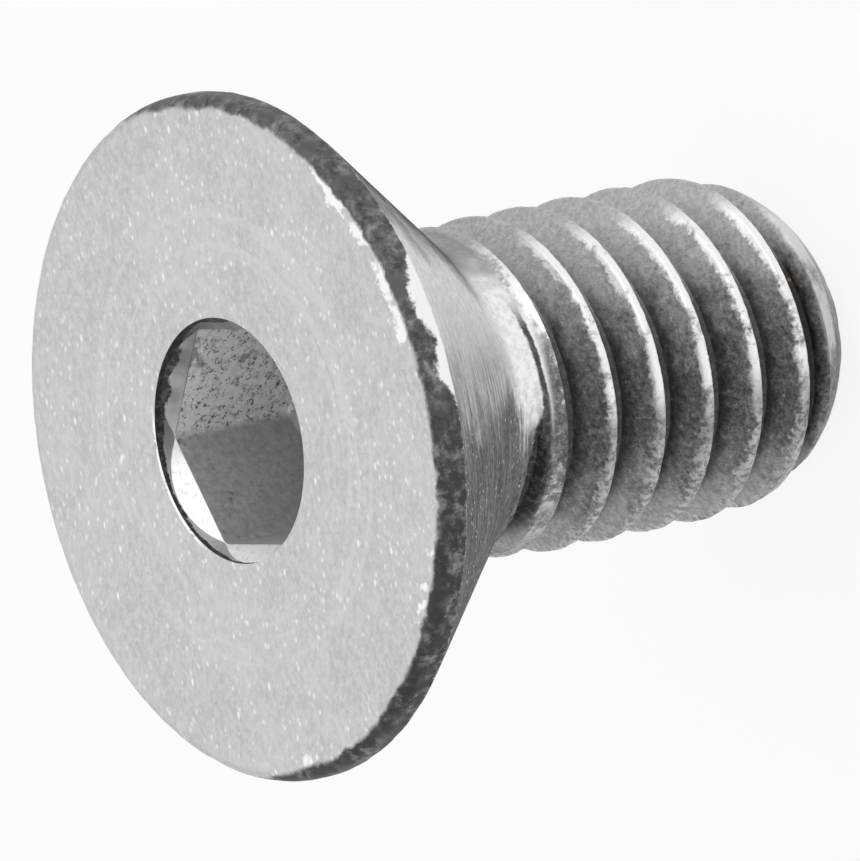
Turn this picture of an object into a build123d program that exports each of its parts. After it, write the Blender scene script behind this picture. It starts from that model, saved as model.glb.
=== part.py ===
"""Countersunk head screw with a hexagon socket, M4 x 8, forged and thread-rolled in one piece.

The screw's axis is +Z. The flat end of the thread lies on Z = 0, centred on the origin, and the
head's face is the highest plane. All sizes are in millimetres and angles in degrees.
"""

import os
from math import atan, ceil, cos, degrees, radians, sqrt, tan

from build123d import *

# Overall
LENGTH = 7.8  # face of the head to the end of the thread
HEAD_DIAMETER = 8.0
SHANK_DIAMETER = 3.98  # over the thread's crests

# Head
RIM_HEIGHT = 0.33  # from the face to the back edge of the rim
FACE_EDGE_RADIUS = 0.17  # rounding between the face and the rim
RIM_BACK_RADIUS = 0.05  # rounding between the rim and the cone
CONE_ANGLE = 83.0  # included angle of the seat under the head

# Neck, the plain stretch between the cone and the thread
NECK_STEP = 0.09  # how far the neck's surface lies inside the thread's crests
NECK_FILLET = 0.40
NECK_LENGTH = 0.30  # from the end of the cone to the swelling that leads to the crests
CREST_RISE = 0.15  # length of that swelling

# Hexagon socket
SOCKET_ACROSS_FLATS = 2.5
SOCKET_DEPTH = 1.86  # below the face, at the hexagon's corners
SOCKET_POINT_ANGLE = 120.0  # included angle of the cone that closes the socket
MOUTH_MARGIN = 0.18  # how far the round mouth's edge lies outside the flats
LEAD_IN_DEPTH = 0.27  # the flats flare open over this depth
LEAD_IN_ANGLE = 42.0  # of each flared flat, from the axis

# Thread
PITCH = 0.7
THREAD_DEPTH = 0.614 * PITCH  # crest to root
FLANK_ANGLE = 60.0  # included angle of the groove
CREST_FLAT = PITCH / 8
RUN_OUT_DISTANCE = 0.36  # from the end of the cone to where the groove's middle climbs out
RUN_OUT_RISE = 0.26  # it leaves the shank over this length
RUN_OUT_DIRECTION = -173.0  # where it starts to climb out, about +Z from +X

# Point, rounded by one arc that leaves the crests tangentially
POINT_DIAMETER = 2.56  # of the flat that is left at its end
POINT_LENGTH = 1.4

CUTTER_CLEARANCE = 0.05  # how far a cutting shape stands outside what it cuts

# Worked out from the sizes above
head_radius = HEAD_DIAMETER / 2
shank_radius = SHANK_DIAMETER / 2
neck_radius = shank_radius - NECK_STEP
point_radius = POINT_DIAMETER / 2
root_radius = shank_radius - THREAD_DEPTH
mouth_radius = SOCKET_ACROSS_FLATS / 2 + MOUTH_MARGIN
corner_radius = SOCKET_ACROSS_FLATS / sqrt(3)
cone_top = LENGTH - RIM_HEIGHT
cone_bottom = cone_top - (head_radius - neck_radius) / tan(radians(CONE_ANGLE / 2))
crest_start = cone_bottom - NECK_LENGTH

# The blank: a turned outline about the axis, from the flat end of the shank to the face.
with BuildPart() as blank:
    with BuildSketch(Plane.XZ):
        with BuildLine():
            TangentArc((shank_radius, POINT_LENGTH), (point_radius, 0), tangent=(0, -1))
            Polyline(
                (shank_radius, POINT_LENGTH),
                (shank_radius, crest_start - CREST_RISE),
                (neck_radius, crest_start),
                (neck_radius, cone_bottom),
                (head_radius, cone_top),
                (head_radius, LENGTH),
                (0, LENGTH),
                (0, 0),
                (point_radius, 0),
            )
        make_face()
    revolve(axis=Axis.Z)
    circles = blank.edges().filter_by(GeomType.CIRCLE)
    face_edge, rim_back_edge = circles.sort_by(Axis.Z)[-1], circles.sort_by(Axis.Z)[-2]
    neck_edge = circles.sort_by(Axis.Z)[-3]
    fillet(neck_edge, NECK_FILLET)
    fillet(face_edge, FACE_EDGE_RADIUS)
    fillet(rim_back_edge, RIM_BACK_RADIUS)

# The socket: a hexagon whose bottom is a cone, with flats that flare open inside a round mouth.
with BuildPart() as socket:
    with BuildSketch(Plane.XY.offset(LENGTH)):
        RegularPolygon(SOCKET_ACROSS_FLATS / 2, 6, major_radius=False, rotation=30)
    extrude(amount=-LENGTH)
    with BuildSketch(Plane.XZ):
        with BuildLine():
            Polyline(
                (0, LENGTH),
                (corner_radius, LENGTH),
                (corner_radius, LENGTH - SOCKET_DEPTH),
                (0, LENGTH - SOCKET_DEPTH - corner_radius / tan(radians(SOCKET_POINT_ANGLE / 2))),
                close=True,
            )
        make_face()
    revolve(axis=Axis.Z, mode=Mode.INTERSECT)

with BuildPart() as lead_in:
    with BuildSketch(Plane.XY.offset(LENGTH - LEAD_IN_DEPTH)):
        RegularPolygon(SOCKET_ACROSS_FLATS / 2, 6, major_radius=False, rotation=30)
    extrude(amount=LEAD_IN_DEPTH, taper=-LEAD_IN_ANGLE)
    with BuildSketch(Plane.XY.offset(LENGTH)):
        Circle(mouth_radius)
    extrude(amount=-LEAD_IN_DEPTH, mode=Mode.INTERSECT)

# The thread's groove: a trapezium swept up a right-hand helix, one turn at a time from below the
# flat end to where the run-out begins, and then up a widening helix until it leaves the shank.
flank_spread = 2 * tan(radians(FLANK_ANGLE / 2))  # how much the groove widens per unit of depth
groove_root = PITCH - CREST_FLAT - flank_spread * THREAD_DEPTH
groove_mouth = groove_root + flank_spread * (THREAD_DEPTH + CUTTER_CLEARANCE)
outer_radius = shank_radius + CUTTER_CLEARANCE
run_out_start = cone_bottom - RUN_OUT_DISTANCE
turns = ceil(run_out_start / PITCH) + 1
run_out_slope = degrees(atan((THREAD_DEPTH + CUTTER_CLEARANCE) / RUN_OUT_RISE))
run_out_pitch = PITCH / cos(radians(run_out_slope))  # along the slant

with BuildSketch(Plane.XZ) as groove_section:
    with BuildLine():
        Polyline(
            (root_radius, -groove_root / 2),
            (outer_radius, -groove_mouth / 2),
            (outer_radius, groove_mouth / 2),
            (root_radius, groove_root / 2),
            close=True,
        )
    make_face()

with BuildPart() as groove_turn:
    with BuildLine() as helix:
        Helix(PITCH, PITCH, root_radius)
    sweep(groove_section.sketch, path=helix.line, is_frenet=True)

with BuildPart() as run_out:
    with BuildLine() as climb:
        Helix(run_out_pitch, RUN_OUT_RISE, root_radius, cone_angle=run_out_slope)
    sweep(groove_section.sketch, path=climb.line, is_frenet=True)

with BuildPart() as screw:
    add(blank.part)
    add(socket.part, mode=Mode.SUBTRACT)
    add(lead_in.part, mode=Mode.SUBTRACT)
    with Locations(Location((0, 0, run_out_start), (0, 0, RUN_OUT_DIRECTION))):
        add(run_out.part, mode=Mode.SUBTRACT)
    for turn in range(1, turns + 1):
        with Locations(Location((0, 0, run_out_start - turn * PITCH), (0, 0, RUN_OUT_DIRECTION))):
            add(groove_turn.part, mode=Mode.SUBTRACT)

screw.part.label = "screw"
os.makedirs("parts", exist_ok=True)
export_step(screw.part, "parts/screw.step")
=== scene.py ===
"""Looks of a short zinc-plated countersunk screw with a hexagon socket.

The screw stands on the flat end of its thread, in the frame of its CAD part. Its whole skin is one
closed mesh: a lathed head with its socket, a rolled thread spun up a helix, and a bridge between
the two. Lengths are in millimetres until the finished mesh is brought to metres, and directions
are in degrees about the axis, from +X towards +Y.
"""

from __future__ import annotations

import logging
import math
from collections.abc import Callable
from dataclasses import dataclass, field
from enum import Enum

import bmesh
import bpy
from mathutils import Matrix, Vector, noise

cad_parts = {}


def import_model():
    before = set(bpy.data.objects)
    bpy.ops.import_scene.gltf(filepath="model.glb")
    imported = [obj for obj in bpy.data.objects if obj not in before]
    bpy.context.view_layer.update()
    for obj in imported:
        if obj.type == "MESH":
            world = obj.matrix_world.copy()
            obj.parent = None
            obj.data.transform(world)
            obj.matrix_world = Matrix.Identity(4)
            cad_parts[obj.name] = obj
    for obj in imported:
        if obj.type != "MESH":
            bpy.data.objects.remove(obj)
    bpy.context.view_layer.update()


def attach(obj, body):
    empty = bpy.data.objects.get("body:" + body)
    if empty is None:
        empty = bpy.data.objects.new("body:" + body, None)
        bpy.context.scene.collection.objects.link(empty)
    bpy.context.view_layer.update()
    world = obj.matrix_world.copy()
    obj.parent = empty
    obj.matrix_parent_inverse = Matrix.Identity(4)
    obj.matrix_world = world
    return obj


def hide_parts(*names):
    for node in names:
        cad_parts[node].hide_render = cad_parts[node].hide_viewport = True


LOG = logging.getLogger("screw")
MILLIMETRE = 0.001
STEPS_PER_TURN = 300
WELD_DISTANCE = 1e-5
HELIX_WELD_DISTANCE = 1e-4  # the turns of a helix meet less exactly than a lathed pole does
SPECK = 1e-4  # smaller than any detail
HAIR = 1e-6  # smaller than any gap between two corners
CAD_NODE = "screw"

# Sizes that several pieces and finishes follow
LENGTH = 7.8  # from the flat end of the thread to the face of the head
MOUTH_RADIUS = 1.43
NECK_RADIUS = 1.90
CREST_RADIUS = 1.99
THREAD_DEPTH = 0.43
PITCH = 0.7
POINT_LENGTH = 1.4
RUN_OUT_START = 4.7364  # height of the groove's middle where it starts to climb out
RUN_OUT_DIRECTION = -173.0  # where that is, about the axis

Pair = tuple[float, float]
Outline = list[Pair]
Link = bpy.types.NodeSocket
Shape = bmesh.types.BMesh


# ---- shader expressions


def operator(operation: str, reflected: bool = False) -> Callable[[Value, Value | float], Value]:
    """Make a method of Value that adds one Math node of two operands.

    Args:
        operation: Blender's name of the operation.
        reflected: put the value last, as in 1 - value.

    Returns:
        The method.
    """

    def apply(self: Value, other: Value | float) -> Value:
        """Add the node."""
        operands = (other, self) if reflected else (self, other)
        return self.maths(operation, *operands)

    return apply


class Value:
    """A number that varies over a surface: a shader socket with arithmetic on it."""

    __add__, __radd__ = operator("ADD"), operator("ADD", reflected=True)
    __sub__, __rsub__ = operator("SUBTRACT"), operator("SUBTRACT", reflected=True)
    __mul__, __rmul__ = operator("MULTIPLY"), operator("MULTIPLY", reflected=True)
    __truediv__, __rtruediv__ = operator("DIVIDE"), operator("DIVIDE", reflected=True)
    maximum, minimum = operator("MAXIMUM"), operator("MINIMUM")

    def __init__(self, graph: Graph, socket: Link) -> None:
        """Wrap one output socket of a graph."""
        self.graph = graph
        self.socket = socket

    def maths(self, operation: str, *operands: Value | float) -> Value:
        """Add a Math node, with its operands in order."""
        inputs = dict(enumerate(operands))
        return self.graph.node("ShaderNodeMath", {"operation": operation}, inputs).value()

    def spread(self, width: float) -> Value:
        """Noise about 0.5 turned into a shift about 0, over a width."""
        return (self - 0.5) * width

    def degrees_from(self, other: Value) -> Value:
        """Direction of the point that has this as its Y and another value as its X, in degrees."""
        return self.maths("ARCTAN2", self, other) * math.degrees(1.0)

    def root(self) -> Value:
        """Square root."""
        return self.maths("SQRT", self)

    def rise(self, low: float, high: float) -> Value:
        """A smooth step from 0 at one level to 1 at another.

        Args:
            low: the level at which the step starts.
            high: the level at which it is complete; below low, the step falls instead.

        Returns:
            The step, between 0 and 1.
        """
        if low > high:
            return 1.0 - self.rise(high, low)
        settings = {"interpolation_type": "SMOOTHSTEP"}
        inputs = {"Value": self, "From Min": low, "From Max": high}
        return self.graph.node("ShaderNodeMapRange", settings, inputs).value()


class Node:
    """A shader node whose outputs are asked for as values, vectors or colours."""

    def __init__(self, graph: Graph, node: bpy.types.Node) -> None:
        """Wrap one node of a graph."""
        self.graph = graph
        self.node = node

    def value(self, output: str | int = 0) -> Value:
        """One output as a number."""
        return Value(self.graph, self.node.outputs[output])

    def socket(self, output: str | int = 0) -> Link:
        """One output as it is."""
        return self.node.outputs[output]


class Graph:
    """The node tree of one material."""

    def __init__(self, material: bpy.types.Material) -> None:
        """Start an empty tree on a material.

        Args:
            material: the material.
        """
        material.use_nodes = True
        self.tree = material.node_tree
        self.tree.nodes.clear()

    def node(self, kind: str, settings: dict | None = None, inputs: dict | None = None) -> Node:
        """Add a node.

        Args:
            kind: Blender's name of the node's type.
            settings: attributes of the node, set before its inputs.
            inputs: plain values or links, by the input's name or number.

        Returns:
            The node, wrapped.
        """
        made = self.tree.nodes.new(kind)
        for name, setting in (settings or {}).items():
            setattr(made, name, setting)
        for name, given in (inputs or {}).items():
            self.feed(made.inputs[name], given)
        return Node(self, made)

    def feed(self, target: Link, given: object) -> None:
        """Link an input, or set it.

        Args:
            target: the input.
            given: the value, node or socket that it is linked to, or a plain number or colour.
        """
        if isinstance(given, Node):
            given = given.socket()
        if isinstance(given, Value):
            given = given.socket
        if isinstance(given, Link):
            self.tree.links.new(given, target)
        else:
            target.default_value = given

    def millimetres(self) -> Link:
        """The place on the piece, in millimetres, in the frame of the CAD part."""
        inputs = {0: self.node("ShaderNodeTexCoord").socket("Object"), "Scale": 1 / MILLIMETRE}
        return self.node("ShaderNodeVectorMath", {"operation": "SCALE"}, inputs).socket()

    def vector(self, x: Value | float, y: Value | float, z: Value | float) -> Link:
        """A vector from three numbers."""
        return self.node("ShaderNodeCombineXYZ", inputs={0: x, 1: y, 2: z}).socket()

    def mix(self, amount: Value | float, low: object, high: object) -> Link:
        """Blend two colours.

        Args:
            amount: 0 gives the first colour and 1 the second.
            low: the first colour: its socket, its four numbers or the level of a grey.
            high: the second colour, given likewise.

        Returns:
            The blended colour.
        """
        low, high = (grey(ink) if isinstance(ink, float) else ink for ink in (low, high))
        settings = {"data_type": "RGBA", "clamp_factor": True}
        # A Mix node's colour inputs are its seventh and eighth, and its colour result the third.
        return self.node("ShaderNodeMix", settings, {0: amount, 6: low, 7: high}).socket(2)

    def coats(self, colour: object, *coats: tuple[Value, object]) -> Link:
        """Lay coats over a colour, one after another.

        Args:
            colour: the colour underneath.
            coats: how much of each coat shows, from 0 to 1, and its colour.

        Returns:
            The colour that shows in the end.
        """
        for amount, coat in coats:
            colour = self.mix(amount, colour, coat)
        return colour

    def surface(
        self, colour: Link, roughness: Value, metallic: Value, bumps: tuple[Value, float, float],
        specular: float = 0.5,
    ) -> None:
        """Close the tree with a plated-metal surface.

        Args:
            colour: the base colour.
            roughness: the roughness.
            metallic: how metallic it is, from 0 to 1.
            bumps: a height, how many millimetres 0 lies below 1, and how much of that shows.
            specular: how much of the usual gloss shows where the surface isn't metallic.
        """
        inputs = {"Height": bumps[0], "Distance": bumps[1] * MILLIMETRE, "Strength": bumps[2]}
        normal = self.node("ShaderNodeBump", inputs=inputs)
        inputs = {"Base Color": colour, "Roughness": roughness, "Metallic": metallic}
        inputs |= {"Normal": normal, "Specular IOR Level": specular}
        shader = self.node("ShaderNodeBsdfPrincipled", inputs=inputs)
        self.node("ShaderNodeOutputMaterial", inputs={"Surface": shader})


def direction(azimuth: float, elevation: float) -> Vector:
    """The unit vector of a direction about the axis and above the floor."""
    level = Vector((math.cos(math.radians(elevation)), 0.0, math.sin(math.radians(elevation))))
    return Matrix.Rotation(math.radians(azimuth), 3, "Z") @ level


def grey(level: float, warmth: float = 0.0) -> tuple[float, float, float, float]:
    """An opaque linear grey, slightly warm if asked."""
    return (level * (1 + warmth), level, level * (1 - 1.6 * warmth), 1.0)


@dataclass(frozen=True)
class RoundPlace:
    """The coordinates that the finishes of a turned piece follow."""

    graph: Graph
    place: Link
    across: tuple[Value, Value]
    radius: Value
    height: Value
    around: Link

    @classmethod
    def of(cls, graph: Graph, stretch: float) -> RoundPlace:
        """Split a place on the piece into its radius, height and a streaky way round the axis.

        Args:
            graph: the material's tree.
            stretch: how many times finer streaks are across than along the direction of turning.

        Returns:
            The coordinates, in millimetres.
        """
        place = graph.millimetres()
        split = graph.node("ShaderNodeSeparateXYZ", inputs={0: place})
        x, y, z = split.value(0), split.value(1), split.value(2)
        radius = (x * x + y * y).root().maximum(SPECK)
        around = graph.vector(x / radius, y / radius, (z + radius) * stretch)
        return cls(graph, place, (x, y), radius, z, around)

    def toward(self, azimuth: float) -> Value:
        """How far round a place lies: 1 in a direction about the axis, and -1 opposite."""
        way, (x, y) = direction(azimuth, 0.0), self.across
        return (x * way.x + y * way.y) / self.radius

    def azimuth(self) -> Value:
        """Direction about the axis in degrees, from -180 to 180."""
        return self.across[1].degrees_from(self.across[0])

    def distance(self, centre: Pair) -> Value:
        """Distance from an upright line through a point beside the axis."""
        x, y = self.across[0] - centre[0], self.across[1] - centre[1]
        return (x * x + y * y).root()

    def stretched(self, share: float) -> Link:
        """The place with its X shrunk to a share, so that specks become strokes along X."""
        return self.graph.vector(self.across[0] * share, self.across[1], self.height)

    def mottle(
        self, per_mm: float, detail: float = 3.0, rough: float = 0.6, place: Link | None = None
    ) -> Value:
        """Cloudy noise from 0 to 1.

        Args:
            per_mm: how many blotches there are to a millimetre.
            detail: how many finer layers are added.
            rough: how strong the finer layers are.
            place: the coordinates that it follows, where they aren't the plain ones.

        Returns:
            The noise, about 0.5 on average.
        """
        inputs = {"Vector": place or self.place, "Scale": per_mm}
        inputs |= {"Detail": detail, "Roughness": rough}
        return self.graph.node("ShaderNodeTexNoise", inputs=inputs).value("Fac")

    def cells(self, per_mm: float, place: Link | None = None) -> Value:
        """Distance to the nearest of many scattered points, for pits and specks."""
        inputs = {"Vector": place or self.place, "Scale": per_mm}
        return self.graph.node("ShaderNodeTexVoronoi", inputs=inputs).value("Distance")


# ---- finishes


class Zone(Enum):
    """Stretches of the skin that have a finish of their own; the value is the material slot."""

    HEAD = 0
    SEAT = 1
    THREAD = 2
    SOCKET = 3


@dataclass(frozen=True)
class Finish:
    """A finish of the skin.

    A pair of radii, heights, depths or directions says where a change begins and where it is
    complete, and a side is the direction about the axis in which something is strongest.
    """

    name: str = "plain"
    streakiness: float = 4.0  # how many times finer streaks are across than along the turning

    def material(self) -> bpy.types.Material:
        """Make the material.

        Returns:
            The material, with its tree filled.
        """
        made = bpy.data.materials.new(self.name)
        self.paint(RoundPlace.of(Graph(made), self.streakiness))
        return made

    def paint(self, at: RoundPlace) -> None:
        """Fill a material's tree; each finish does it in its own way."""
        raise NotImplementedError


@dataclass(frozen=True)
class HeadFinish(Finish):
    """Satin plating on the face, and a dark, chipped rim whose white chips and bright worn rear
    edge carry painted highlights.
    """

    name: str = "satin_face_and_chipped_rim"
    streakiness: float = 9.0
    rim_radii: Pair = (3.82, 3.89)
    chip_radii: Pair = (3.70, 3.74)
    wear_glint_edge: float = 7.44  # height up to which the rim's rear edge is worn and painted bright, a painted highlight
    outer_ring: Pair = (2.75, 2.6)
    inner_ring: Pair = (1.6, 2.3)
    burr_width: Pair = (0.055, 0.035)  # outside the socket's mouth
    clean_side: float = 97.0  # where the rim has kept its plating
    pale_side: float = -20.0  # where the rim is palest
    # where the face's edge has most white chips: wear with a painted highlight
    chipped_side: float = -50.0
    # where the painted highlight on the worn rear edge is widest
    wear_glint_side: float = -71.0
    burred_side: float = 112.0

    def paint(self, at: RoundPlace) -> None:
        """Fill the material's tree.

        Args:
            at: the place on the piece.
        """
        graph = at.graph
        chipped = at.toward(self.chipped_side).rise(0.92, 0.98)
        wear_glint_side = at.toward(self.wear_glint_side).rise(0.97, 0.99)
        ragged = at.mottle(4.5, 4.0, 0.65)
        chip = at.mottle(2.4, 2.0, 0.5)
        kept = (at.toward(self.clean_side) + ragged.spread(0.5)).rise(-0.05, 0.45)
        edge = at.radius - kept * 0.18 + ragged.spread(0.16) + chip.spread(0.10)
        rim = edge.rise(*self.rim_radii)
        fine = at.mottle(22.0)
        # white chips at the face's edge: wear, with a painted highlight that is strongest on the
        # chipped side
        bright = (edge + chip.spread(0.3) + fine.spread(0.25)).rise(*self.chip_radii)
        bright = bright * (chip + chipped * 0.20 + ragged.spread(0.4)).rise(0.62, 0.69)
        bright = bright * (1.0 - rim) * (1.0 - kept)
        # the rim's rear edge painted bright: a worn bevel, and a painted highlight that widens on
        # one side
        low = self.wear_glint_edge - at.height + ragged.spread(0.12) + wear_glint_side * chip * 0.36
        low = low + fine.spread(0.14) - kept * 0.1
        worn = low.rise(-0.04, 0.03) * rim
        bare_and_glint = (bright * 0.9 + worn).minimum(1.0)
        colour = graph.coats(self.face(at), (rim, self.rim(at)), (bare_and_glint, 0.94))
        dark = rim * (1.0 - worn)
        bumps = (fine + ragged * dark, 0.008, 0.6)
        graph.surface(colour, 0.42 + dark * 0.1, 0.92 - dark * 0.3, bumps)

    def face(self, at: RoundPlace) -> Link:
        """Colour of the face: satin, with short bright scratches and faint turned rings.

        Args:
            at: the place on the piece.

        Returns:
            The colour.
        """
        fine = at.mottle(13.0, 4.0, 0.75, place=at.stretched(0.8))
        broad = at.mottle(1.1)
        rings = at.mottle(0.9, 1.0, 0.4, place=at.around)
        ringed = at.radius.rise(*self.outer_ring) * at.radius.rise(*self.inner_ring)
        ringed = ringed * rings.rise(0.52, 0.60)
        small = at.cells(9.0, at.stretched(0.7)).rise(0.30, 0.06)
        large = at.cells(3.6, at.stretched(0.5)).rise(0.12, 0.03)
        beyond = at.distance(Socket.centre()) - MOUTH_RADIUS
        burr = beyond.rise(*self.burr_width) * at.toward(self.burred_side).rise(0.80, 0.90)
        return at.graph.coats(
            0.47,
            (fine.rise(0.3, 0.7), 0.62),
            (broad.rise(0.4, 0.65) * 0.35, 0.64),
            (ringed * 0.4, 0.66),
            (small * broad.rise(0.35, 0.55) * 0.65, 0.90),
            (large * 0.8, 0.95),
            (burr * (fine + broad * 0.5).rise(0.62, 0.70), 0.95),
        )

    def rim(self, at: RoundPlace) -> Link:
        """Colour of the rim: dark, blotched coating, paler towards one side.

        Args:
            at: the place on the piece.

        Returns:
            The colour.
        """
        coat = at.mottle(6.0, 4.0, 0.7)
        patch = at.mottle(1.8, 2.0)
        return at.graph.coats(
            0.055,
            (at.toward(self.pale_side).rise(0.1, 0.8), 0.11),
            (coat.rise(0.45, 0.7) * patch.rise(0.35, 0.6), 0.30),
            (coat.rise(0.5, 0.3) * 0.8, 0.035),
        )


@dataclass(frozen=True)
class SeatFinish(Finish):
    """Burnished, finely streaked plating on the cone and the neck, with painted shade on two sides
    and a painted highlight down the neck.
    """

    name: str = "burnished_seat_painted_light"
    neck: Pair = (5.5, 5.0)
    # the side on which the plating is painted darker and streaky, as painted shade, and made matt
    dark_matt_side: float = 187.0
    matt_gloss: float = 0.1

    def paint(self, at: RoundPlace) -> None:
        """Fill the material's tree.

        Args:
            at: the place on the piece.
        """
        toward = at.toward(self.dark_matt_side)
        matt = toward.rise(-0.1, 0.4) + toward.rise(-0.25, -0.65)
        bumps = (at.mottle(15.0), 0.006, 0.5)
        rough, metallic = 0.38 + matt * 0.5, 0.95 - matt * 0.90
        at.graph.surface(self.colour(at), rough, metallic, bumps, self.matt_gloss)

    def colour(self, at: RoundPlace) -> Link:
        """Colour of the plating, with painted shade on two sides and a painted highlight down the
        neck.

        Args:
            at: the place on the piece.

        Returns:
            The colour.
        """
        coats = at.graph.coats
        streak = at.mottle(3.8, 4.0, 0.7, place=at.around)
        blotch = at.mottle(1.6)
        fine = at.mottle(13.0, 3.0, 0.65)
        specks = at.cells(9.0).rise(0.22, 0.1)
        toward = at.toward(self.dark_matt_side) + blotch.spread(0.4)
        neck = (at.height + blotch.spread(0.4)).rise(*self.neck)
        # painted shade: darker, streaky plating on the dark side
        dark_side_shade = (toward - neck * 0.3 + streak.spread(0.8)).rise(-0.12, 0.18)
        # painted shade on the opposite side
        shaded = toward.rise(-0.40, -0.72)
        # painted highlight: a bright band down the neck, between the two shaded sides
        bright = toward.rise(0.45, 0.25) * toward.rise(-0.80, -0.5)
        plated = coats(0.66, (fine.rise(0.3, 0.7), 0.86), (streak.rise(0.5, 0.62) * 0.25, 0.40))
        shade = coats(0.09, (neck, 0.36), (fine.rise(0.3, 0.8) * 0.8, 0.26))
        # colour of that painted highlight
        rubbing_and_highlight = coats(0.80, (fine.rise(0.35, 0.6), 0.98))
        dark_side_streaks = (streak * 0.6 + fine * 0.4).rise(0.38, 0.62)
        dark_side_streaks = coats(0.05, (dark_side_streaks, 0.24), (specks * blotch.rise(0.4, 0.55), 0.7))
        return coats(plated, (shaded, shade), (neck * bright, rubbing_and_highlight), (dark_side_shade * 0.95, dark_side_streaks))


@dataclass(frozen=True)
class ThreadFinish(Finish):
    """Pitted flanks, painted shade in the roots, and worn crests with painted highlights."""

    name: str = "pitted_thread"
    point_bend: float = 1.735  # radius of the arc that rounds the point
    point: Pair = (0.95, 0.55)
    point_root_shade: Pair = (1.0, 0.8)  # of the painted shade in the roots near the point
    rusty: Pair = (1.5, 1.1)
    end: Pair = (0.02, 0.01)
    neck: Pair = (4.70, 4.77)
    run_out: Pair = (4.58, 4.70)
    run_out_end: Pair = (-48.0, -66.0)
    narrowing: Pair = (-115.0, -85.0)  # of the painted dark reflection beside the last ridge
    # the side on which the flanks are painted lightest, as painted light
    bright_side: float = 7.0
    rust: tuple[float, float, float, float] = (0.34, 0.21, 0.10, 1.0)

    def paint(self, at: RoundPlace) -> None:
        """Fill the material's tree.

        Args:
            at: the place on the piece.
        """
        coats = at.graph.coats
        level = self.level(at)
        side = at.toward(self.bright_side)
        coarse = at.mottle(3.6, 4.0, 0.75)
        fine = at.mottle(12.0, 3.0, 0.7)
        patch = at.mottle(2.1, 2.0)
        point = at.height.rise(*self.point)
        ragged = (coarse.spread(0.5) + fine.spread(0.5)) * (1.0 - point * 0.6)
        under = (side + patch.spread(0.6)).rise(-0.25, -0.6)
        over = side.rise(0.1, 0.6) * side.rise(0.95, 0.75)
        # pale ragged patches next to the crests on two sides: wear with a painted highlight
        rubbing_and_highlight = (level + ragged * 1.4 + patch.spread(0.9)).rise(0.80, 0.98)
        rubbing_and_highlight = rubbing_and_highlight * at.height.rise(0.5, 0.9) * (under * 0.9 + over * 0.75).minimum(1.0)
        pale = coats(0.22, (fine.rise(0.38, 0.6), 0.60))
        # painted highlight along the crests, on the side where they catch the light
        near = (side + ragged * 0.3).rise(-0.50, -0.15) * side.rise(0.90, 0.70)
        width = point * 0.05 - side.rise(0.1, 0.6) * 0.08
        crest = (level - width + ragged * 0.8 + patch.spread(0.4)).rise(0.84, 1.0) * near
        crest = crest * at.height.rise(0.25, 0.35) * (1.0 - point * 0.45)
        colour = coats(self.flank(at, level, side), (rubbing_and_highlight, pale), (crest, 0.95))
        colour = self.last_ridge(at, colour, near, (coarse, fine))
        colour = coats(colour, (at.height.rise(*self.end), 0.3))
        bumps = ((fine * 0.6 + coarse) * (1.0 - crest * 0.4), 0.016, 0.8)
        at.graph.surface(colour, 0.52 - crest * 0.12, 0.60 + crest * 0.35, bumps)

    def level(self, at: RoundPlace) -> Value:
        """How high a place lies on the thread, between 0 at the root and 1 at the crest.

        Args:
            at: the place on the piece.

        Returns:
            The level.
        """
        along = (POINT_LENGTH - at.height).maximum(0.0)
        drop = self.point_bend - (self.point_bend**2 - along * along).root()
        return 1.0 - (CREST_RADIUS - drop - at.radius) / THREAD_DEPTH

    def last_ridge(
        self, at: RoundPlace, colour: Link, near: Value, noises: tuple[Value, Value]
    ) -> Link:
        """Paint the ridge beside the neck: its painted highlight line, the painted dark reflection
        beside it and the neck's plating.

        Args:
            at: the place on the piece.
            colour: the thread's colour.
            near: 1 on the side where crests are painted bright.
            noises: a coarse and a fine one, for ragged borders.

        Returns:
            The colour with the ridge painted.
        """
        coats = at.graph.coats
        coarse, fine = noises
        rise_per_degree = PITCH / 360.0
        start = RUN_OUT_START - RUN_OUT_DIRECTION * rise_per_degree
        beside = at.height - start - at.azimuth() * rise_per_degree  # from the groove's middle
        beside = beside + fine.spread(0.06) + coarse.spread(0.06)
        climbing = at.azimuth().rise(*self.run_out_end)
        above = at.height.rise(*self.run_out)
        # painted highlight: a bright line along the last ridge
        line = beside.rise(-0.37, -0.33) * near * climbing
        # painted dark reflection of the head's underside, beside the last ridge
        dark_reflection = coats(grey(0.02, 0.12), (fine.rise(0.45, 0.65), grey(0.10, 0.05)))
        dark_reflection_mask = above * climbing * beside.rise(-0.25, -0.22) * 0.95
        taper = at.azimuth().rise(*self.narrowing) * 0.17 - 0.09
        outside = (beside + taper).rise(-0.09, -0.05).maximum(1.0 - climbing)
        plain = at.height.rise(*self.neck) * outside
        # the seat's colour, with its painted shade and painted highlight
        plating = SeatFinish().colour(at)
        return coats(colour, (above * line, 1.0), (dark_reflection_mask, dark_reflection), (plain, plating))

    def flank(self, at: RoundPlace, level: Value, side: Value) -> Link:
        """Colour of the flanks and roots, painted lighter on two sides, with painted shade in the
        roots.

        Args:
            at: the place on the piece.
            level: 0 at the root and 1 at the crest.
            side: 1 on the bright side and -1 on the opposite one.

        Returns:
            The colour.
        """
        coats = at.graph.coats
        coarse = at.mottle(4.5, 4.0, 0.75)
        fine = at.mottle(14.0, 5.0, 0.8)
        pits = at.cells(11.0).rise(0.32, 0.12)
        rust = at.cells(4.5).rise(0.16, 0.08)
        cloud = at.mottle(2.0)
        # painted light: the flanks are lighter on the bright side and near the opposite one
        clouded = side + coarse.spread(0.7) + cloud.spread(0.9)
        painted_lit_sides = clouded.rise(-0.22, 0.80).maximum(clouded.rise(-0.60, -1.0) * 0.8)
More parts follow.
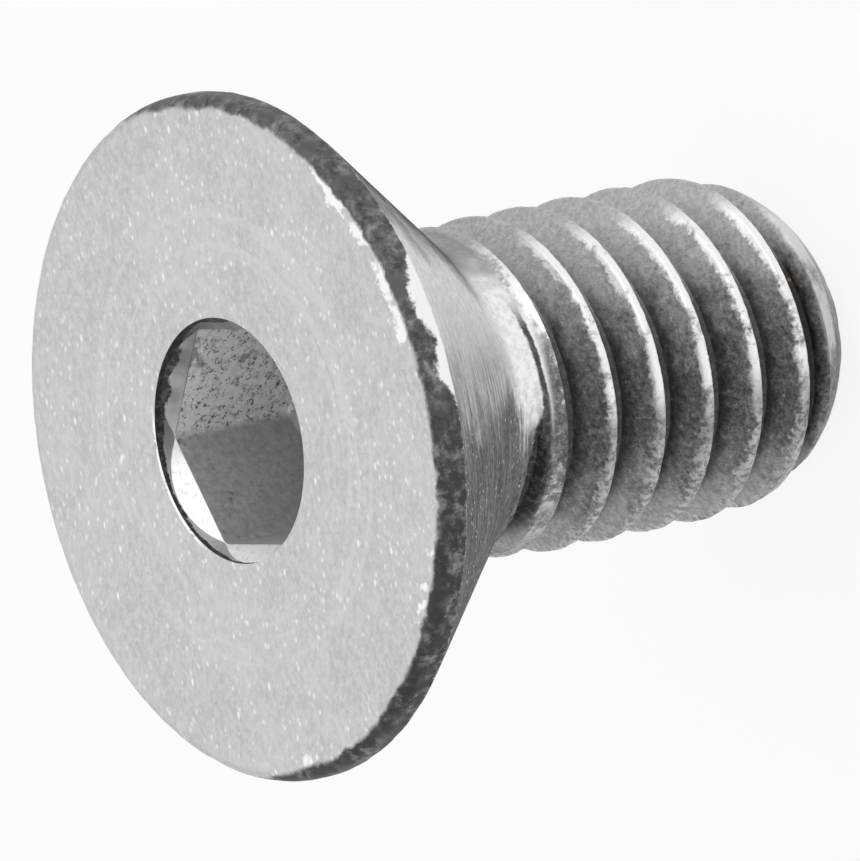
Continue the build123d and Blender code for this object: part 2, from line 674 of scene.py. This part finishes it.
        # painted shade in the roots, fading out on the bright side
        root_shade = (level + coarse.spread(0.7)).rise(0.45, 0.05) * side.rise(0.75, 0.2)
        point_root_shade = (level + coarse.spread(0.6)).rise(0.85, 0.45) * side.rise(0.75, 0.35)
        return coats(
            0.23,
            (painted_lit_sides, 0.55),
            (coarse.rise(0.5, 0.68) * 0.5, 0.50),
            (fine.rise(0.62, 0.34) * (0.85 - painted_lit_sides * 0.3), coats(0.05, (painted_lit_sides, 0.24))),
            (fine.rise(0.56, 0.70) * 0.6, 0.66),
            (pits * coarse.rise(0.58, 0.42) * (0.6 - painted_lit_sides * 0.4), 0.05),
            (root_shade * 0.75, 0.04),
            # painted shade in the roots near the point
            (at.height.rise(*self.point_root_shade) * point_root_shade * 0.95, grey(0.02, 0.12)),
            (rust * at.height.rise(*self.rusty) * side.rise(-0.1, 0.2) * 0.7, self.rust),
        )


@dataclass(frozen=True)
class SocketFinish(Finish):
    """Forged socket walls: darker than the face and pitted, with painted light on one side's walls,
    painted shade round the mouth's lip and painted highlights on the flared flats.
    """

    name: str = "forged_socket"
    lip: Pair = (0.285, 0.27)
    bright_side: float = 150.0  # where the flared flats are painted white, a painted highlight
    pale_side: float = 0.0  # where the walls are painted paler, as painted light
    lip_shade_depth: float = 0.08  # how much deeper the painted shade round the mouth's lip reaches on the pale side

    def paint(self, at: RoundPlace) -> None:
        """Fill the material's tree.

        Args:
            at: the place on the piece.
        """
        coats = at.graph.coats
        coarse = at.mottle(2.6)
        fine = at.mottle(12.0, 4.0, 0.7)
        pits = at.mottle(11.0, 5.0, 0.9).rise(0.47, 0.41)
        # painted light: the walls on the pale side are paler than the others
        upper = at.toward(self.pale_side).rise(-0.05, 0.04)
        even = fine.rise(0.3, 0.7)
        pale = coats(0.80, (even, 1.0), (pits, 0.12), (coarse.rise(0.44, 0.34) * 0.7, 0.20))
        smooth = coats(0.32, (even, 0.46), (pits * coarse.rise(0.55, 0.65), 0.12))
        depth = LENGTH - at.height
        lip = depth.rise(*self.lip)
        # painted highlight: the flared flats turn white on one side
        white = at.toward(self.bright_side).rise(0.3, 0.8)
        above = at.toward(self.pale_side).rise(-0.10, 0.10)
        sunk = depth + fine.spread(0.10) + coarse.spread(0.14)
        flare = lip * (sunk - above * self.lip_shade_depth).rise(0.06, 0.08)
        rubbing_and_highlight = coats(0.22, (coarse.rise(0.3, 0.7), 0.44))
        rubbing_and_highlight = coats(rubbing_and_highlight, (white, coats(0.70, (fine.rise(0.3, 0.5), 0.95))))
        # painted shade: a near-black band round the mouth's lip
        lip_shade = coats(0.03, (fine.rise(0.45, 0.65), 0.11))
        colour = coats(smooth, (upper, pale), (lip, lip_shade), (flare, rubbing_and_highlight))
        bumps = (fine * 0.6 + coarse * 0.4, 0.010, 0.6)
        at.graph.surface(colour, 0.58 - flare * 0.2, 0.25 + flare * 0.6, bumps)


# ---- shape


@dataclass(frozen=True)
class Wear:
    """Small irregularities of a surface, always cut into it and never added."""

    depth: float
    per_mm: float
    seed: float

    def at(self, place: Vector) -> float:
        """How deep the surface is worn at a place, between 0 and the full depth."""
        shifted = place * self.per_mm + Vector((self.seed, 0.7 * self.seed, -self.seed))
        return self.depth * min(1.0, abs(noise.fractal(shifted, 1.0, 2.0, 3)))


def radius_of(place: Vector) -> float:
    """Distance from the screw's axis."""
    return math.hypot(place.x, place.y)


def direction_of(place: Vector) -> float:
    """Direction about the screw's axis, in radians."""
    return math.atan2(place.y, place.x)


def ramp(number: float, start: float, end: float) -> float:
    """A straight step from 0 at the start to 1 at the end, whichever of the two is larger."""
    return min(1.0, max(0.0, (number - start) / (end - start)))


def part_way(first: Pair, last: Pair, share: float) -> Pair:
    """A corner part of the way from one corner to another."""
    return first[0] + (last[0] - first[0]) * share, first[1] + (last[1] - first[1]) * share


def between(first: Pair, last: Pair, steps: int) -> Outline:
    """Corners that part a straight stretch of outline evenly, without its two ends."""
    return [part_way(first, last, step / steps) for step in range(1, steps)]


def arc(centre: Pair, radius: float, start: float, end: float, steps: int) -> Outline:
    """Corners of an arc in the outline's plane.

    Args:
        centre: radius and height of the arc's centre.
        radius: the arc's own radius.
        start: first direction, from straight outwards towards straight up.
        end: last direction.
        steps: number of pieces.

    Returns:
        The corners, ends included.
    """
    turns = [math.radians(start + (end - start) * step / steps) for step in range(steps + 1)]
    return [(centre[0] + radius * math.cos(t), centre[1] + radius * math.sin(t)) for t in turns]


def set_radius(vertex: bmesh.types.BMVert, radius: float) -> None:
    """Move a vertex straight out from the axis, or in."""
    scale = radius / max(radius_of(vertex.co), HAIR)
    vertex.co.xy *= scale


def everything(mesh: Shape) -> list:
    """All vertices, edges and faces of a mesh."""
    return [*mesh.verts, *mesh.edges, *mesh.faces]


def spin(mesh: Shape, outline: Outline, climb: float = 0.0) -> None:
    """Spin an outline once round the axis.

    Args:
        mesh: the empty mesh that takes it.
        outline: radius and height of each corner, in order.
        climb: how far it climbs in that turn.
    """
    corners = [mesh.verts.new((radius, 0.0, height)) for radius, height in outline]
    chain = corners + [mesh.edges.new(pair) for pair in zip(corners, corners[1:])]
    bmesh.ops.spin(
        mesh, geom=chain, cent=(0, 0, 0), axis=(0, 0, 1), dvec=(0, 0, climb / STEPS_PER_TURN),
        angle=math.tau, steps=STEPS_PER_TURN, use_merge=climb == 0.0,
    )


def written(shape: Shape, name: str) -> bpy.types.Mesh:
    """Write a shape to a new mesh of Blender's own, and free it.

    Args:
        shape: the shape.
        name: the new mesh's name.

    Returns:
        The new mesh.
    """
    made = bpy.data.meshes.new(name)
    shape.to_mesh(made)
    shape.free()
    return made


def placed(name: str, data: bpy.types.ID) -> bpy.types.Object:
    """Put something in the scene.

    Args:
        name: its name.
        data: the mesh, light or camera.

    Returns:
        The object in the scene.
    """
    made = bpy.data.objects.new(name, data)
    bpy.context.scene.collection.objects.link(made)
    return made


@dataclass
class Head:
    """The countersunk head: neck, seat cone, rim and face."""

    length: float = LENGTH
    radius: float = 4.0
    rim_height: float = 0.33
    face_edge_radius: float = 0.17
    rim_back_radius: float = 0.05
    cone_angle: float = 83.0
    neck_radius: float = NECK_RADIUS
    neck_fillet: float = 0.40
    join: Pair = (0.001, 5.005)  # where its mesh begins: how far outside the neck, and how high
    mouth_radius: float = MOUTH_RADIUS
    arc_steps: tuple[int, int, int] = (9, 5, 12)  # of the fillet, the rim's rear and front edges
    rings: tuple[int, int, int] = (28, 6, 20)  # on the cone, the rim and the face
    mouth_rings: int = 30  # rings inside the mouth, from which the socket is pressed
    dents: Wear = field(default_factory=lambda: Wear(0.022, 2.6, 5.3))
    chips: Wear = field(default_factory=lambda: Wear(0.045, 4.6, 11.9))
    chip_threshold: float = 0.012  # a chip that is shallower doesn't show
    chipped_side: float = -70.0
    evenness: float = 0.6  # the wear's average, where the chipped side has 1
    worn_radii: Pair = (3.6, 3.9)  # where the rim's wear begins and is complete
    worn_heights: Pair = (7.2, 7.45)
    lowered_radii: Pair = (3.7, 3.82)  # where it begins to lower the face too
    lowered_share: float = 0.7

    def outline(self) -> Outline:
        """The head's turned outline.

        Returns:
            Its corners, from the neck up and over to the middle of the face.
        """
        half = math.radians(self.cone_angle / 2)
        rim_base = self.length - self.rim_height
        cone_end = rim_base - (self.radius - self.neck_radius) / math.tan(half)
        fillet_base = cone_end - self.neck_fillet * math.tan(half / 2)
        fillet = arc((self.neck_radius + self.neck_fillet, fillet_base), self.neck_fillet,
                     180.0, 180.0 - self.cone_angle / 2, self.arc_steps[0])
        neck = [corner for corner in fillet if corner[1] > self.join[1]]
        back_base = rim_base + self.rim_back_radius * math.tan(half / 2)
        back = arc((self.radius - self.rim_back_radius, back_base), self.rim_back_radius,
                   -self.cone_angle / 2, 0.0, self.arc_steps[1])
        edge_centre = (self.radius - self.face_edge_radius, self.length - self.face_edge_radius)
        edge = arc(edge_centre, self.face_edge_radius, 0.0, 90.0, self.arc_steps[2])
        mouth, middle = (self.mouth_radius, self.length), (0.0, self.length)
        outline = [(self.neck_radius + self.join[0], self.join[1])] + neck
        outline += between(neck[-1], back[0], self.rings[0]) + back
        outline += between(back[-1], edge[0], self.rings[1]) + edge
        outline += between(edge[-1], mouth, self.rings[2]) + [mouth]
        return outline + between(mouth, middle, self.mouth_rings) + [middle]

    def build(self, mesh: Shape) -> None:
        """Turn the head and batter its rim.

        Args:
            mesh: the empty mesh that takes it.
        """
        spin(mesh, self.outline())
        pole = [vertex for vertex in mesh.verts if radius_of(vertex.co) < SPECK]
        bmesh.ops.remove_doubles(mesh, verts=pole, dist=WELD_DISTANCE)
        for vertex in mesh.verts:
            self.batter(vertex)

    def batter(self, vertex: bmesh.types.BMVert) -> None:
        """Dent the rim and chip its front edge, inwards only.

        Args:
            vertex: the vertex to move.
        """
        radius, height = radius_of(vertex.co), vertex.co.z
        on_rim = ramp(radius, *self.worn_radii) * ramp(height, *self.worn_heights)
        if on_rim == 0.0:
            return
        turned = direction_of(vertex.co) - math.radians(self.chipped_side)
        on_rim *= self.evenness + (1.0 - self.evenness) * math.cos(turned)
        edge = self.face_edge_radius
        near_edge = max(0.0, 1.0 - math.hypot(self.radius - radius, self.length - height) / edge)
        chip = max(0.0, self.chips.at(vertex.co) - self.chip_threshold) * near_edge
        inwards = (self.dents.at(vertex.co) + chip) * on_rim
        set_radius(vertex, radius - inwards)
        if height > self.length - edge:
            vertex.co.z -= inwards * self.lowered_share * ramp(radius, *self.lowered_radii)


@dataclass
class Socket:
    """The hexagon socket: a round mouth, flared flats, walls and a conical bottom."""

    across_flats: float = 2.5
    depth: float = 1.86
    point_angle: float = 120.0
    lead_in_depth: float = 0.27
    lead_in_angle: float = 42.0
    corner_rounding: float = 0.03
    corner_share: float = 0.4  # how much of the corner's depth beyond that rounding is left
    mouth_radius: float = MOUTH_RADIUS
    face_height: float = LENGTH
    rings: tuple[int, int, int, int] = (2, 6, 22, 30)  # ring at the end of each stretch of the wall
    drift: float = 0.09
    drift_direction: float = 97.0
    drift_end: float = 3.2  # radius beyond which the face is not moved
    margin: float = 0.01  # about the mouth, moved with it
    least_radius: float = 0.001  # of the rings about the middle of the bottom
    forging: Wear = field(default_factory=lambda: Wear(0.016, 3.2, 7.7))

    @classmethod
    def centre(cls) -> Pair:
        """Where the socket's middle lies beside the screw's axis."""
        turn = math.radians(cls.drift_direction)
        return cls.drift * math.cos(turn), cls.drift * math.sin(turn)

    def hexagon_radius(self, angle: float) -> float:
        """Distance from the axis to the wall; two corners lie on the Y axis.

        Args:
            angle: the direction, in radians.

        Returns:
            The distance.
        """
        sixth = math.pi / 3
        offset = (angle + sixth / 2) % sixth - sixth / 2
        sharp = self.across_flats / 2 / math.cos(offset)
        blunt = self.across_flats / math.sqrt(3) - self.corner_rounding
        return min(sharp, blunt + (sharp - blunt) * self.corner_share)

    def stations(self, angle: float) -> Outline:
        """The wall's corners in a direction, from the mouth to the bottom.

        Args:
            angle: the direction, in radians.

        Returns:
            Radius and depth of each corner.
        """
        flat = self.hexagon_radius(angle)
        mouth = max(self.mouth_radius, flat)
        flare = (mouth - flat) / math.tan(math.radians(self.lead_in_angle))
        slope = math.tan(math.radians(self.point_angle / 2))
        corner = self.across_flats / math.sqrt(3)
        foot = self.depth + (corner - flat) / slope
        apex = self.depth + corner / slope
        lead_in = self.lead_in_depth
        return [(mouth, 0.0), (mouth, lead_in - flare), (flat, lead_in), (flat, foot), (0.0, apex)]

    def station(self, angle: float, ring: int) -> Pair:
        """Where a ring of the flat disc inside the mouth lies on the wall.

        Args:
            angle: the direction, in radians.
            ring: the ring's number, from 0 at the mouth to the last one at the middle.

        Returns:
            Its radius and depth.
        """
        corners = self.stations(angle)
        step = next(step for step, last in enumerate(self.rings) if ring <= last)
        first = self.rings[step - 1] if step else 0
        share = (ring - first) / (self.rings[step] - first)
        return part_way(corners[step], corners[step + 1], share)

    def press(self, mesh: Shape) -> None:
        """Press the socket into the flat rings inside the mouth.

        Args:
            mesh: the head's mesh.
        """
        for vertex in mesh.verts:
            radius = radius_of(vertex.co)
            if vertex.co.z < self.face_height - HAIR or radius > self.mouth_radius + HAIR:
                continue
            ring = round((1.0 - radius / self.mouth_radius) * self.rings[-1])
            reach, sunk = self.station(direction_of(vertex.co), ring)
            if radius > HAIR:
                set_radius(vertex, max(reach, self.least_radius))
            vertex.co.z = self.face_height - sunk
            if ring > self.rings[1] and radius > HAIR:
                set_radius(vertex, radius_of(vertex.co) - self.forging.at(vertex.co))

    def push_aside(self, mesh: Shape) -> None:
        """Move the socket a little off the head's centre, as it was forged; the rim stays.

        Args:
            mesh: the whole skin.
        """
        aside = Vector((*self.centre(), 0.0))
        for vertex in mesh.verts:
            radius = radius_of(vertex.co)
            inside = radius < self.mouth_radius + self.margin and vertex.co.z > self.face_height / 2
            if inside or vertex.co.z > self.face_height - self.lead_in_depth:
                vertex.co += aside * ramp(radius, self.drift_end, self.mouth_radius)


@dataclass
class Thread:
    """The rolled thread with its point and its run-out."""

    crest_radius: float = CREST_RADIUS
    depth: float = THREAD_DEPTH
    pitch: float = PITCH
    flank_angle: float = 60.0
    crest_flat: float = 0.0875
    run_out_start: float = RUN_OUT_START
    run_out_rise: float = 0.26
    run_out_climb: float = 0.48
    run_out_direction: float = RUN_OUT_DIRECTION
    point_radius: float = 1.28
    point_length: float = POINT_LENGTH
    swell_start: Pair = (4.60, 0.20)  # its height, and how far that sways
    swell_direction: float = 7.0  # where the full thread reaches highest
    crest_rounding: Pair = (0.07, 0.04)  # towards the head, and towards the point
    corner_steps: tuple[int, int] = (5, 3)  # pieces of each of those roundings
    flank_rings: int = 6
    root_rounding: float = 0.012
    end_inset: float = 0.05  # of the ring that rounds off the shading at the flat end
    swell_rise: float = 0.15
    neck_radius: float = NECK_RADIUS
    join: float = 4.995  # height at which the thread's mesh ends
    plain_top: Pair = (0.1, 0.3)  # distances below that where the wear sets in
    dents: Wear = field(default_factory=lambda: Wear(0.010, 5.0, 3.1))
    ragged: Wear = field(default_factory=lambda: Wear(0.012, 9.0, 9.4))
    ragged_depth: float = 0.05  # how far below the crests they are ragged

    def rounded_side(self, rounding: float, steps: int) -> Outline:
        """One side of a groove, from the middle of the crest to the middle of the root.

        Args:
            rounding: radius of the worn corner between crest and flank.
            steps: number of pieces in the corner.

        Returns:
            Radius and distance from the crest's middle of each corner.
        """
        crest, root = self.crest_radius, self.crest_radius - self.depth
        flank_tilt = 90.0 - self.flank_angle / 2
        half_flat = self.crest_flat / 2
        start = half_flat - rounding * math.tan(math.radians(flank_tilt / 2))
        corner = arc((crest - rounding, start), rounding, 0.0, flank_tilt, steps)
        foot = (root, half_flat + self.depth * math.tan(math.radians(self.flank_angle / 2)))
        side = [(crest, 0.0)] + corner + between(corner[-1], foot, self.flank_rings)
        ease = self.root_rounding
        side += [(root + ease, foot[1] - ease), (root, foot[1] + ease)]
        return side + [(root, self.pitch / 2)]

    def profile(self) -> Outline:
        """One pitch of the rolled profile.

        Returns:
            Its corners, from one crest to the next one towards the head.
        """
        sides = zip(self.crest_rounding, self.corner_steps)
        lower, upper = (self.rounded_side(rounding, steps) for rounding, steps in sides)
        return lower + [(radius, self.pitch - height) for radius, height in reversed(upper[:-1])]

    def blank_radius(self, place: Vector) -> float:
        """Radius of the shank before the groove is rolled into it.

        Args:
            place: a place on the shank.

        Returns:
            The radius there.
        """
        height = place.z
        if height < self.point_length:
            drop = self.crest_radius - self.point_radius
            bend = (self.point_length**2 + drop**2) / (2 * drop)
            along = self.point_length - max(height, 0.0)
            return self.crest_radius - bend + math.sqrt(bend**2 - along**2)
        sway = math.cos(direction_of(place) - math.radians(self.swell_direction))
        start = self.swell_start[0] + self.swell_start[1] * sway
        swell = ramp(height, start - self.swell_rise, start)
        return self.crest_radius + (self.neck_radius - self.crest_radius) * swell

    def lift(self, place: Vector) -> float:
        """How far the groove has climbed out of the shank.

        Args:
            place: a place on the shank.

        Returns:
            The height climbed there, no more than the groove's depth.
        """
        angle = math.degrees(direction_of(place))
        past = (angle - self.run_out_direction) % 360.0
        turn = round((place.z - self.run_out_start) / self.pitch - past / 360.0)
        if turn < 0:
            return 0.0
        climb = self.run_out_climb * past * self.pitch / (360.0 * self.run_out_rise)
        return self.depth if turn > 0 else min(self.depth, climb)

    def build(self, mesh: Shape) -> None:
        """Spin the thread up its helix, roll the run-out into the neck and close the flat end.

        Args:
            mesh: the empty mesh that takes it.
        """
        turns = math.ceil(self.join / self.pitch) + 2
        spin(mesh, self.profile(), climb=self.pitch)
        first = everything(mesh)
        for turn in range(1, turns):
            copied = bmesh.ops.duplicate(mesh, geom=first)["geom"]
            corners = [corner for corner in copied if isinstance(corner, bmesh.types.BMVert)]
            bmesh.ops.translate(mesh, vec=(0, 0, turn * self.pitch), verts=corners)
        bmesh.ops.remove_doubles(mesh, verts=mesh.verts, dist=HELIX_WELD_DISTANCE)
        # The crest's middle lies half a pitch from the groove's, and one turn is left over on top.
        lowest = self.run_out_start - self.pitch / 2 - (turns - 1) * self.pitch
        turned = Matrix.Rotation(math.radians(self.run_out_direction), 4, "Z")
        moved = Matrix.Translation((0, 0, lowest)) @ turned
        bmesh.ops.transform(mesh, matrix=moved, verts=mesh.verts)
        for vertex in mesh.verts:
            radius = radius_of(vertex.co) + self.lift(vertex.co)
            cut = min(radius, self.blank_radius(vertex.co))
            worn = self.dents.at(vertex.co)
            if radius > self.crest_radius - self.ragged_depth:
                worn += self.ragged.at(vertex.co)
            set_radius(vertex, cut - worn * ramp(self.join - vertex.co.z, *self.plain_top))
        self.trim(mesh, 0.0, below=True)
        self.trim(mesh, self.join, below=False)
        self.close_end(mesh)

    def trim(self, mesh: Shape, height: float, below: bool) -> None:
        """Cut the mesh off level at a height.

        Args:
            mesh: the thread's mesh.
            height: where it is cut.
            below: drop what lies below, and otherwise what lies above.
        """
        bmesh.ops.bisect_plane(
            mesh, geom=everything(mesh), dist=HAIR, plane_co=(0, 0, height), plane_no=(0, 0, 1),
            clear_inner=below, clear_outer=not below,
        )

    def close_end(self, mesh: Shape) -> None:
        """Cap the flat end of the thread.

        Args:
            mesh: the thread's mesh, open at its ends.
        """
        rim = [edge for edge in mesh.edges if edge.is_boundary and edge.verts[0].co.z < SPECK]
        cap = bmesh.ops.contextual_create(mesh, geom=rim)["faces"]
        bmesh.ops.inset_region(mesh, faces=cap, thickness=self.end_inset)
        bmesh.ops.poke(mesh, faces=cap)


def joined(*parts: Shape) -> Shape:
    """Gather several meshes in a new one, and free them.

    Args:
        parts: the meshes.

    Returns:
        The new mesh.
    """
    whole = bmesh.new()
    for part in parts:
        carrier = written(part, "carrier")
        whole.from_mesh(carrier)
        bpy.data.meshes.remove(carrier)
    return whole


@dataclass
class Screw:
    """The whole screw: one closed skin with four finishes."""

    head: Head = field(default_factory=Head)
    socket: Socket = field(default_factory=Socket)
    thread: Thread = field(default_factory=Thread)
    name: str = "plated_screw"
    sharp_angle: float = 34.0
    seat_top: float = 7.46  # height of the cone's end at the rim

    def zone(self, place: Vector) -> Zone:
        """The finish that a place on the skin takes.

        Args:
            place: the middle of a face.

        Returns:
            Its zone.
        """
        sunk = self.thread.join < place.z < self.head.length - SPECK
        if sunk and radius_of(place) < self.head.mouth_radius:
            return Zone.SOCKET
        if place.z > self.seat_top:
            return Zone.HEAD
        return Zone.SEAT if place.z > self.thread.join else Zone.THREAD

    def build(self) -> bpy.types.Object:
        """Build the skin, close it, and dress it.

        Returns:
            The finished piece, in metres, in the frame of the CAD part.
        """
        shank, top = bmesh.new(), bmesh.new()
        self.thread.build(shank)
        self.head.build(top)
        self.socket.press(top)
        shape = joined(shank, top)
        seam = [edge for edge in shape.edges if edge.is_boundary]
        bmesh.ops.bridge_loops(shape, edges=seam)
        bmesh.ops.recalc_face_normals(shape, faces=shape.faces)
        for face in shape.faces:
            face.smooth = True
            face.material_index = self.zone(face.calc_center_median()).value
        self.socket.push_aside(shape)
        open_edges = sum(not edge.is_manifold for edge in shape.edges)
        bmesh.ops.scale(shape, vec=(MILLIMETRE,) * 3, verts=shape.verts)
        skin = written(shape, self.name)
        for finish in (HeadFinish(), SeatFinish(), ThreadFinish(), SocketFinish()):
            skin.materials.append(finish.material())
        skin.set_sharp_from_angle(angle=math.radians(self.sharp_angle))
        piece = placed(self.name, skin)
        triangles = sum(len(polygon.vertices) - 2 for polygon in skin.polygons)
        LOG.info("%s: %d triangles, %d open edges", piece.name, triangles, open_edges)
        return piece


# ---- studio


@dataclass(frozen=True)
class ViewCamera:
    """A long lens that looks down on the head, with the screw lying across the picture."""

    azimuth: float = -83.2
    elevation: float = 35.5
    tilt: float = 11.5  # how far the screw's point is raised in the picture
    pixels_per_mm: float = 87.3
    picture_width: int = 860
    face_offset: Pair = (-196.5, -9.4)  # of the face from the middle, in pixels
    face_height: float = LENGTH
    distance: float = 420.0
    sensor: float = 36.0
    sight: Pair = (0.01, 10.0)  # nearest and farthest that it sees, in metres

    @property
    def toward(self) -> Vector:
        """Direction from the screw to the camera."""
        return direction(self.azimuth, self.elevation)

    @property
    def axes(self) -> tuple[Vector, Vector]:
        """The picture's own directions.

        Returns:
            Its right and its up.
        """
        upright = (Vector((0, 0, 1)) - self.toward * self.toward.z).normalized()
        across = -self.toward.cross(upright)
        tilt = math.radians(self.tilt)
        right = -upright * math.cos(tilt) - across * math.sin(tilt)
        return right, -upright * math.sin(tilt) + across * math.cos(tilt)

    def place(self) -> None:
        """Add the camera and make it the scene's own."""
        right, up = self.axes
        shift = -(right * self.face_offset[0] + up * self.face_offset[1]) / self.pixels_per_mm
        position = Vector((0, 0, self.face_height)) + shift + self.toward * self.distance
        lens = bpy.data.cameras.new("view_camera")
        lens.sensor_fit = "HORIZONTAL"
        lens.sensor_width = self.sensor
        lens.lens = self.pixels_per_mm * self.distance * self.sensor / self.picture_width
        lens.clip_start, lens.clip_end = self.sight
        camera = placed("view_camera", lens)
        turned = Matrix((right, up, self.toward)).transposed().to_4x4()
        camera.matrix_world = Matrix.Translation(position * MILLIMETRE) @ turned
        bpy.context.scene.camera = camera


@dataclass(frozen=True)
class SoftLight:
    """A large soft panel that faces the screw."""

    name: str
    azimuth: float
    elevation: float
    size: float
    brightness: float  # the panel's own, where 1 is white
    distance: float = 0.30

    def place(self, target: Vector) -> None:
        """Add the panel.

        Args:
            target: the place that it faces, in metres.
        """
        toward = direction(self.azimuth, self.elevation)
        light = bpy.data.lights.new(self.name, "AREA")
        light.shape = "SQUARE"
        light.size = self.size
        light.energy = self.brightness * math.pi * self.size**2
        lamp = placed(self.name, light)
        lamp.location = target + toward * self.distance
        lamp.rotation_euler = toward.to_track_quat("Z", "Y").to_euler()


@dataclass(frozen=True)
class Studio:
    """A plain pale floor under soft panels and a pale surround."""

    camera: ViewCamera = field(default_factory=ViewCamera)
    floor_half: float = 0.4
    floor_grey: float = 0.85
    surround: float = 0.80
    floor_white: float = 0.86  # share of plain white that the camera sees in the floor
    lights: tuple[SoftLight, ...] = (
        SoftLight("key_panel", azimuth=20.0, elevation=55.0, size=0.30, brightness=0.45),
        SoftLight("side_panel", azimuth=-50.0, elevation=30.0, size=0.20, brightness=0.8),
        SoftLight("back_panel", azimuth=97.0, elevation=38.0, size=0.24, brightness=0.30),
    )

    def floor(self) -> None:
        """Add the floor, which keeps the screw's soft shadow."""
        shape = bmesh.new()
        bmesh.ops.create_grid(shape, x_segments=1, y_segments=1, size=self.floor_half)
        sheet = written(shape, "floor")
        made = bpy.data.materials.new("pale_floor")
        graph = Graph(made)
        rays = graph.node("ShaderNodeLightPath")
        seen = rays.value("Is Camera Ray").maximum(rays.value("Is Glossy Ray"))
        seen = seen.maximum(rays.value("Is Transmission Ray"))
        lit = graph.node("ShaderNodeBsdfDiffuse", inputs={"Color": grey(self.floor_grey)})
        white = graph.node("ShaderNodeEmission", inputs={"Color": grey(1.0), "Strength": 1.0})
        shown = seen * self.floor_white
        mixed = graph.node("ShaderNodeMixShader", inputs={0: shown, 1: lit, 2: white})
        graph.node("ShaderNodeOutputMaterial", inputs={"Surface": mixed})
        sheet.materials.append(made)
        floor = placed("floor", sheet)

    def world(self) -> None:
        """Fill the surround with one pale grey."""
        world = bpy.data.worlds.new("pale_surround")
        world.use_nodes = True
        backdrop = world.node_tree.nodes["Background"]
        backdrop.inputs["Color"].default_value = grey(1.0)
        backdrop.inputs["Strength"].default_value = self.surround
        bpy.context.scene.world = world

    def set_up(self) -> None:
        """Place the floor, the surround, the lights and the camera."""
        bpy.context.scene.view_settings.view_transform = "Standard"
        self.floor()
        self.world()
        target = Vector((0, 0, self.camera.face_height / 2)) * MILLIMETRE
        for light in self.lights:
            light.place(target)
            LOG.info("light %s", light.name)
        self.camera.place()


def main() -> None:
    """Load the CAD part, build its looks round it and set up the studio."""
    logging.basicConfig(level=logging.INFO, format="%(name)s: %(message)s")
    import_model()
    piece = Screw().build()
    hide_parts(CAD_NODE)
    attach(piece, "root")
    Studio().set_up()


if __name__ == "__main__":
    main()
